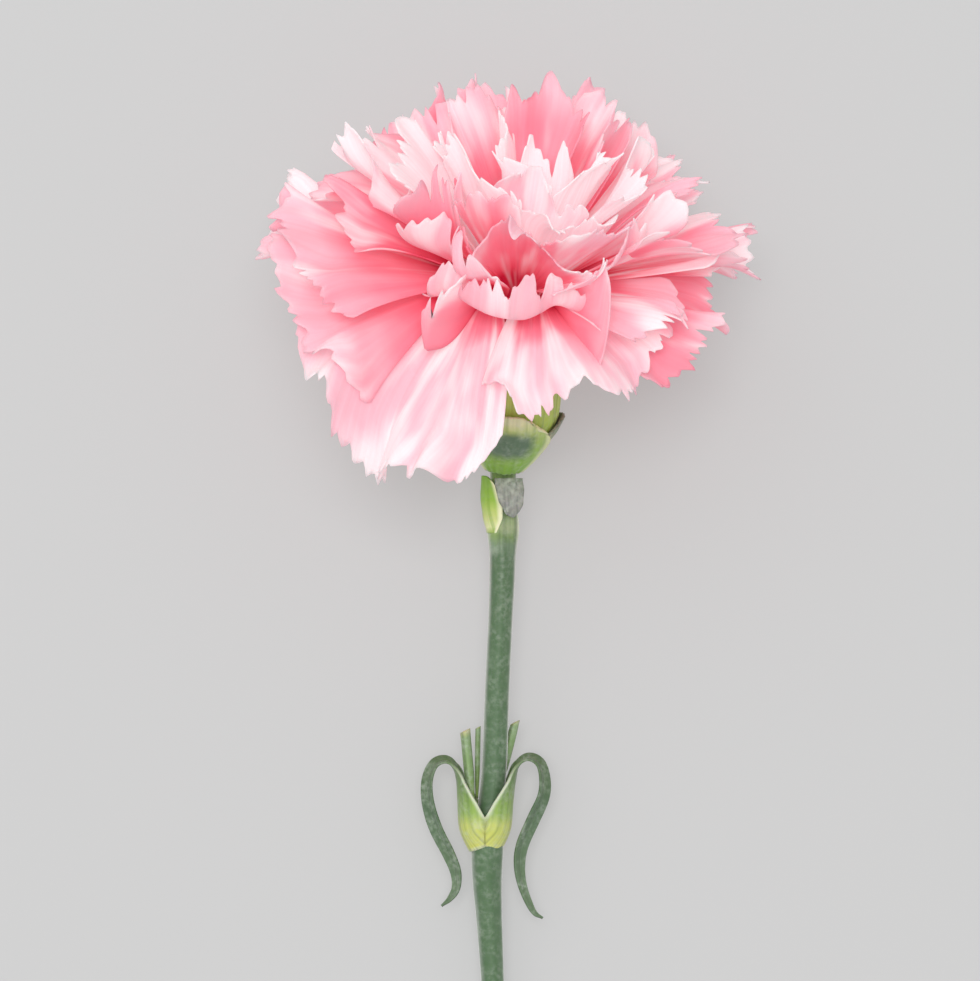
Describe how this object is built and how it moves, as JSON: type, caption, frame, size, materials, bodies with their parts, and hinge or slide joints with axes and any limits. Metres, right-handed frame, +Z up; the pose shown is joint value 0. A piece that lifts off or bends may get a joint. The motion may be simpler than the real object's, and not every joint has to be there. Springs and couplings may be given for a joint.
{
  "type": "cut carnation",
  "caption": "Short-cut double carnation lying on its side: a ruffled, fringed pink bloom in a green calyx on a jointed stem with a pair of arched narrow leaves.",
  "frame": {"origin": "on the surface the flower lies on, at the middle of the flower's box", "axes": "+Y along the stem towards the bloom, +Z up, so the bloom's front faces up, +X to the right as the flower is seen from above"},
  "size_m": [0.0749, 0.1772, 0.0545],
  "materials": {
    "petal": "soft, matt and slightly translucent; deep coral in the hollows, pale pink at the fringed margins",
    "stem": "waxy blue-green with darker streaks",
    "leaf": "waxy grey-green",
    "calyx": "yellow-green with fine lengthwise lines",
    "bract": "green with pale yellow edges and a grey-green patch",
    "dry_scale": "dry, grey and slightly papery"
  },
  "bodies": {
    "root": {"bract_back": "bract", "bract_front": "bract", "bract_left": "bract", "bract_right": "bract", "calyx": "calyx", "core_petal_1": "petal", "core_petal_2": "petal", "core_petal_3": "petal", "core_petal_4": "petal", "core_petal_5": "petal", "cut_shoot_left": "stem", "cut_shoot_right": "stem", "cut_shoot_thin": "stem", "guard_petal_1": "petal", "guard_petal_2": "petal", "guard_petal_3": "petal", "guard_petal_4": "petal", "guard_petal_5": "petal", "guard_petal_6": "petal", "guard_petal_7": "petal", "heart_petal_1": "petal", "heart_petal_2": "petal", "heart_petal_3": "petal", "inner_petal_1": "petal", "inner_petal_2": "petal", "inner_petal_3": "petal", "inner_petal_4": "petal", "inner_petal_5": "petal", "inner_petal_6": "petal", "leaf_left": "leaf", "leaf_right": "leaf", "middle_petal_1": "petal", "middle_petal_2": "petal", "middle_petal_3": "petal", "middle_petal_4": "petal", "middle_petal_5": "petal", "middle_petal_6": "petal", "middle_petal_7": "petal", "outer_petal_1": "petal", "outer_petal_2": "petal", "outer_petal_3": "petal", "outer_petal_4": "petal", "outer_petal_5": "petal", "outer_petal_6": "petal", "outer_petal_7": "petal", "scale_leaf_dry": "dry_scale", "scale_leaf_left": "bract", "second_petal_1": "petal", "second_petal_2": "petal", "second_petal_3": "petal", "second_petal_4": "petal", "second_petal_5": "petal", "second_petal_6": "petal", "second_petal_7": "petal", "stem": "stem"}
  },
  "joints": []
}
